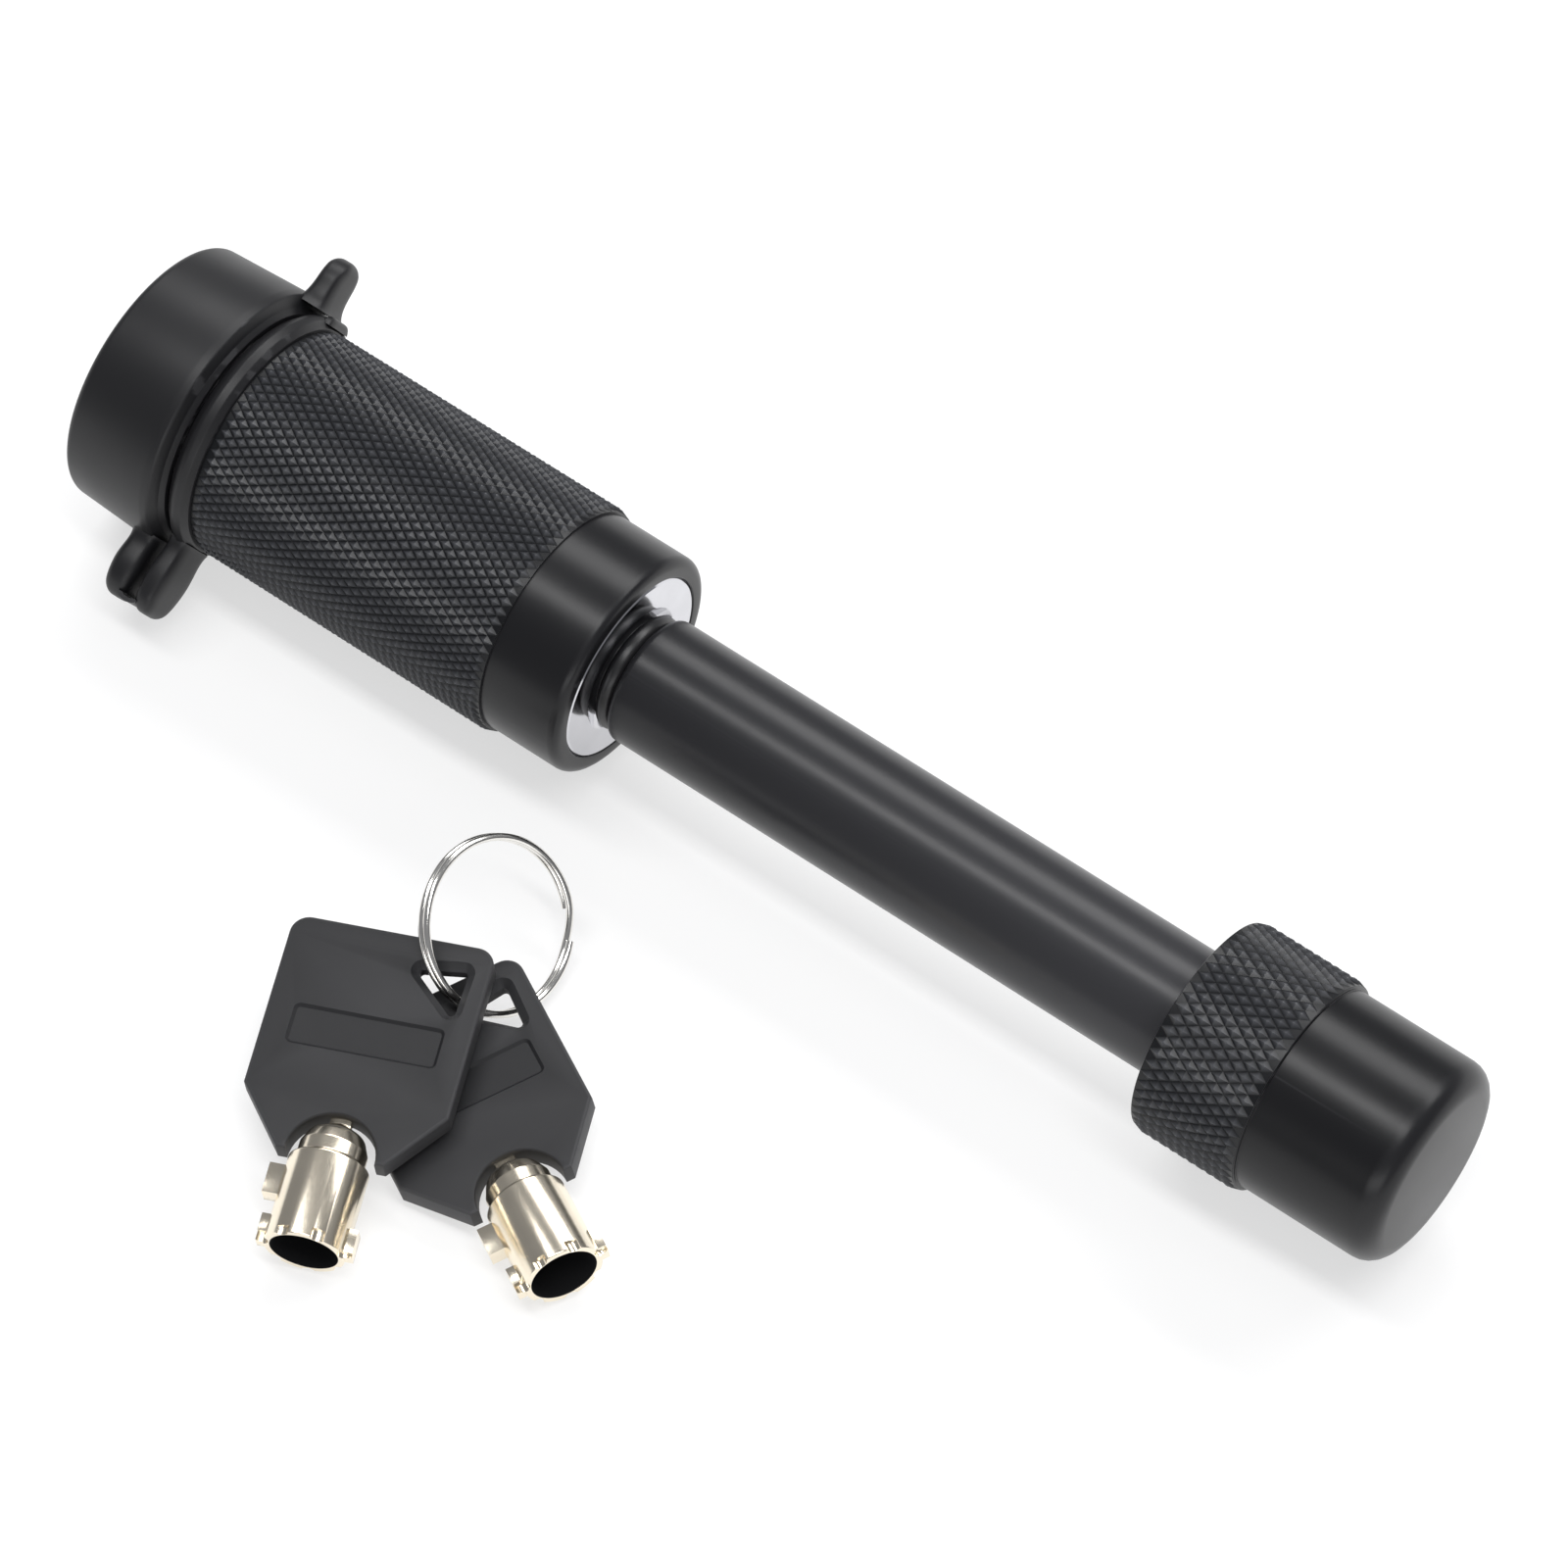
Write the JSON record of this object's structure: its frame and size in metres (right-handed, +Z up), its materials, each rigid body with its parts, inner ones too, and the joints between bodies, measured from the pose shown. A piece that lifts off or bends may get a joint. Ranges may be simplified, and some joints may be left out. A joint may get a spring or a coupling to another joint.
{
  "type": "hitch pin lock",
  "caption": "Straight hitch pin with a knurled end knob and a knurled keyed lock head under a hinged rubber dust cap, with keys on a split ring.",
  "frame": {"origin": "on the pin's axis, half way between the lock head's face and the knob's shoulder", "axes": "+X along the pin from the lock head to the knob, +Z up, the keys lie on the -Y side"},
  "size_m": [0.1824, 0.1024, 0.0344],
  "materials": {
    "black_steel": "semi-gloss black coating on steel",
    "polished_plate": "mirror-polished steel",
    "zinc": "satin die-cast zinc",
    "brass": "turned brass",
    "spring_steel": "drawn wire",
    "hardened_steel": "ground steel",
    "seal_rubber": "smooth black rubber",
    "cap_rubber": "satin black rubber",
    "ring_wire": "bright nickel-plated wire",
    "grip_plastic": "fine matt black moulding",
    "nickel": "warm nickel plate"
  },
  "bodies": {
    "lock_head": {"lock_barrel": "black_steel", "face_plate": "polished_plate", "cylinder_shell": "zinc", "pin_block": "brass", "pin_springs": "spring_steel", "block_snap_ring": "spring_steel", "retaining_pin": "hardened_steel", "cap_ring": "cap_rubber"},
    "driver_pin_set": {"driver_pins": "brass"},
    "plug": {"plug_rotor": "zinc", "cam_cup": "hardened_steel", "cam_washer": "hardened_steel", "cam_screw": "hardened_steel"},
    "key_pin_set": {"key_pins": "brass"},
    "ball_1": {"lock_ball_1": "hardened_steel"},
    "ball_2": {"lock_ball_2": "hardened_steel"},
    "ball_3": {"lock_ball_3": "hardened_steel"},
    "pin": {"pin_shaft": "black_steel", "end_knob": "black_steel", "pin_o_ring": "seal_rubber"},
    "cap": {"dust_cap": "cap_rubber"},
    "ring": {"key_ring": "ring_wire"},
    "key_1": {"key_1_head": "grip_plastic", "key_1_tube": "nickel"},
    "key_2": {"key_2_head": "grip_plastic", "key_2_tube": "nickel"}
  },
  "joints": [
    {"name": "plug_turn", "type": "hinge", "parent": "lock_head", "child": "plug", "pos_m": [-0.09, 0, 0], "axis": [1, 0, 0], "range_deg": [0, 90]},
    {"name": "key_pin_travel", "type": "slide", "parent": "plug", "child": "key_pin_set", "axis": [1, 0, 0], "range_m": [-0.001, 0]},
    {"name": "driver_pin_travel", "type": "slide", "parent": "lock_head", "child": "driver_pin_set", "axis": [1, 0, 0], "range_m": [-0.001, 0]},
    {"name": "ball_1_slide", "type": "slide", "parent": "lock_head", "child": "ball_1", "axis": [0, 0, 1], "range_m": [-0.0013, 0]},
    {"name": "ball_2_slide", "type": "slide", "parent": "lock_head", "child": "ball_2", "axis": [0, -0.866, -0.5], "range_m": [-0.0013, 0]},
    {"name": "ball_3_slide", "type": "slide", "parent": "lock_head", "child": "ball_3", "axis": [0, 0.866, -0.5], "range_m": [-0.0013, 0]},
    {"name": "pin_slide", "type": "slide", "parent": "lock_head", "child": "pin", "axis": [1, 0, 0], "range_m": [0, 0.05]},
    {"name": "cap_hinge", "type": "hinge", "parent": "lock_head", "child": "cap", "pos_m": [-0.0967, -0.02125, -0.01116], "axis": [0, -0.4648, 0.8854], "range_deg": [0, 110]},
    {"name": "ring_lift", "type": "slide", "parent": "lock_head", "child": "ring", "axis": [0, 0, 1], "range_m": [0, 0.04]},
    {"name": "key_1_swing", "type": "hinge", "parent": "ring", "child": "key_1", "pos_m": [-0.03366, -0.04301, 0], "axis": [0, 0, 1], "range_deg": [-8, 0]},
    {"name": "key_2_swing", "type": "hinge", "parent": "ring", "child": "key_2", "pos_m": [-0.02972, -0.04074, 0], "axis": [0, 0, 1], "range_deg": [0, 8]}
  ],
  "couplings": [
    {"joint": "driver_pin_travel", "follows": "key_pin_travel", "ratio": 1},
    {"joint": "ball_1_slide", "follows": "plug_turn", "m_per_rad": -0.00080214},
    {"joint": "ball_2_slide", "follows": "plug_turn", "m_per_rad": -0.00080214},
    {"joint": "ball_3_slide", "follows": "plug_turn", "m_per_rad": -0.00080214}
  ]
}
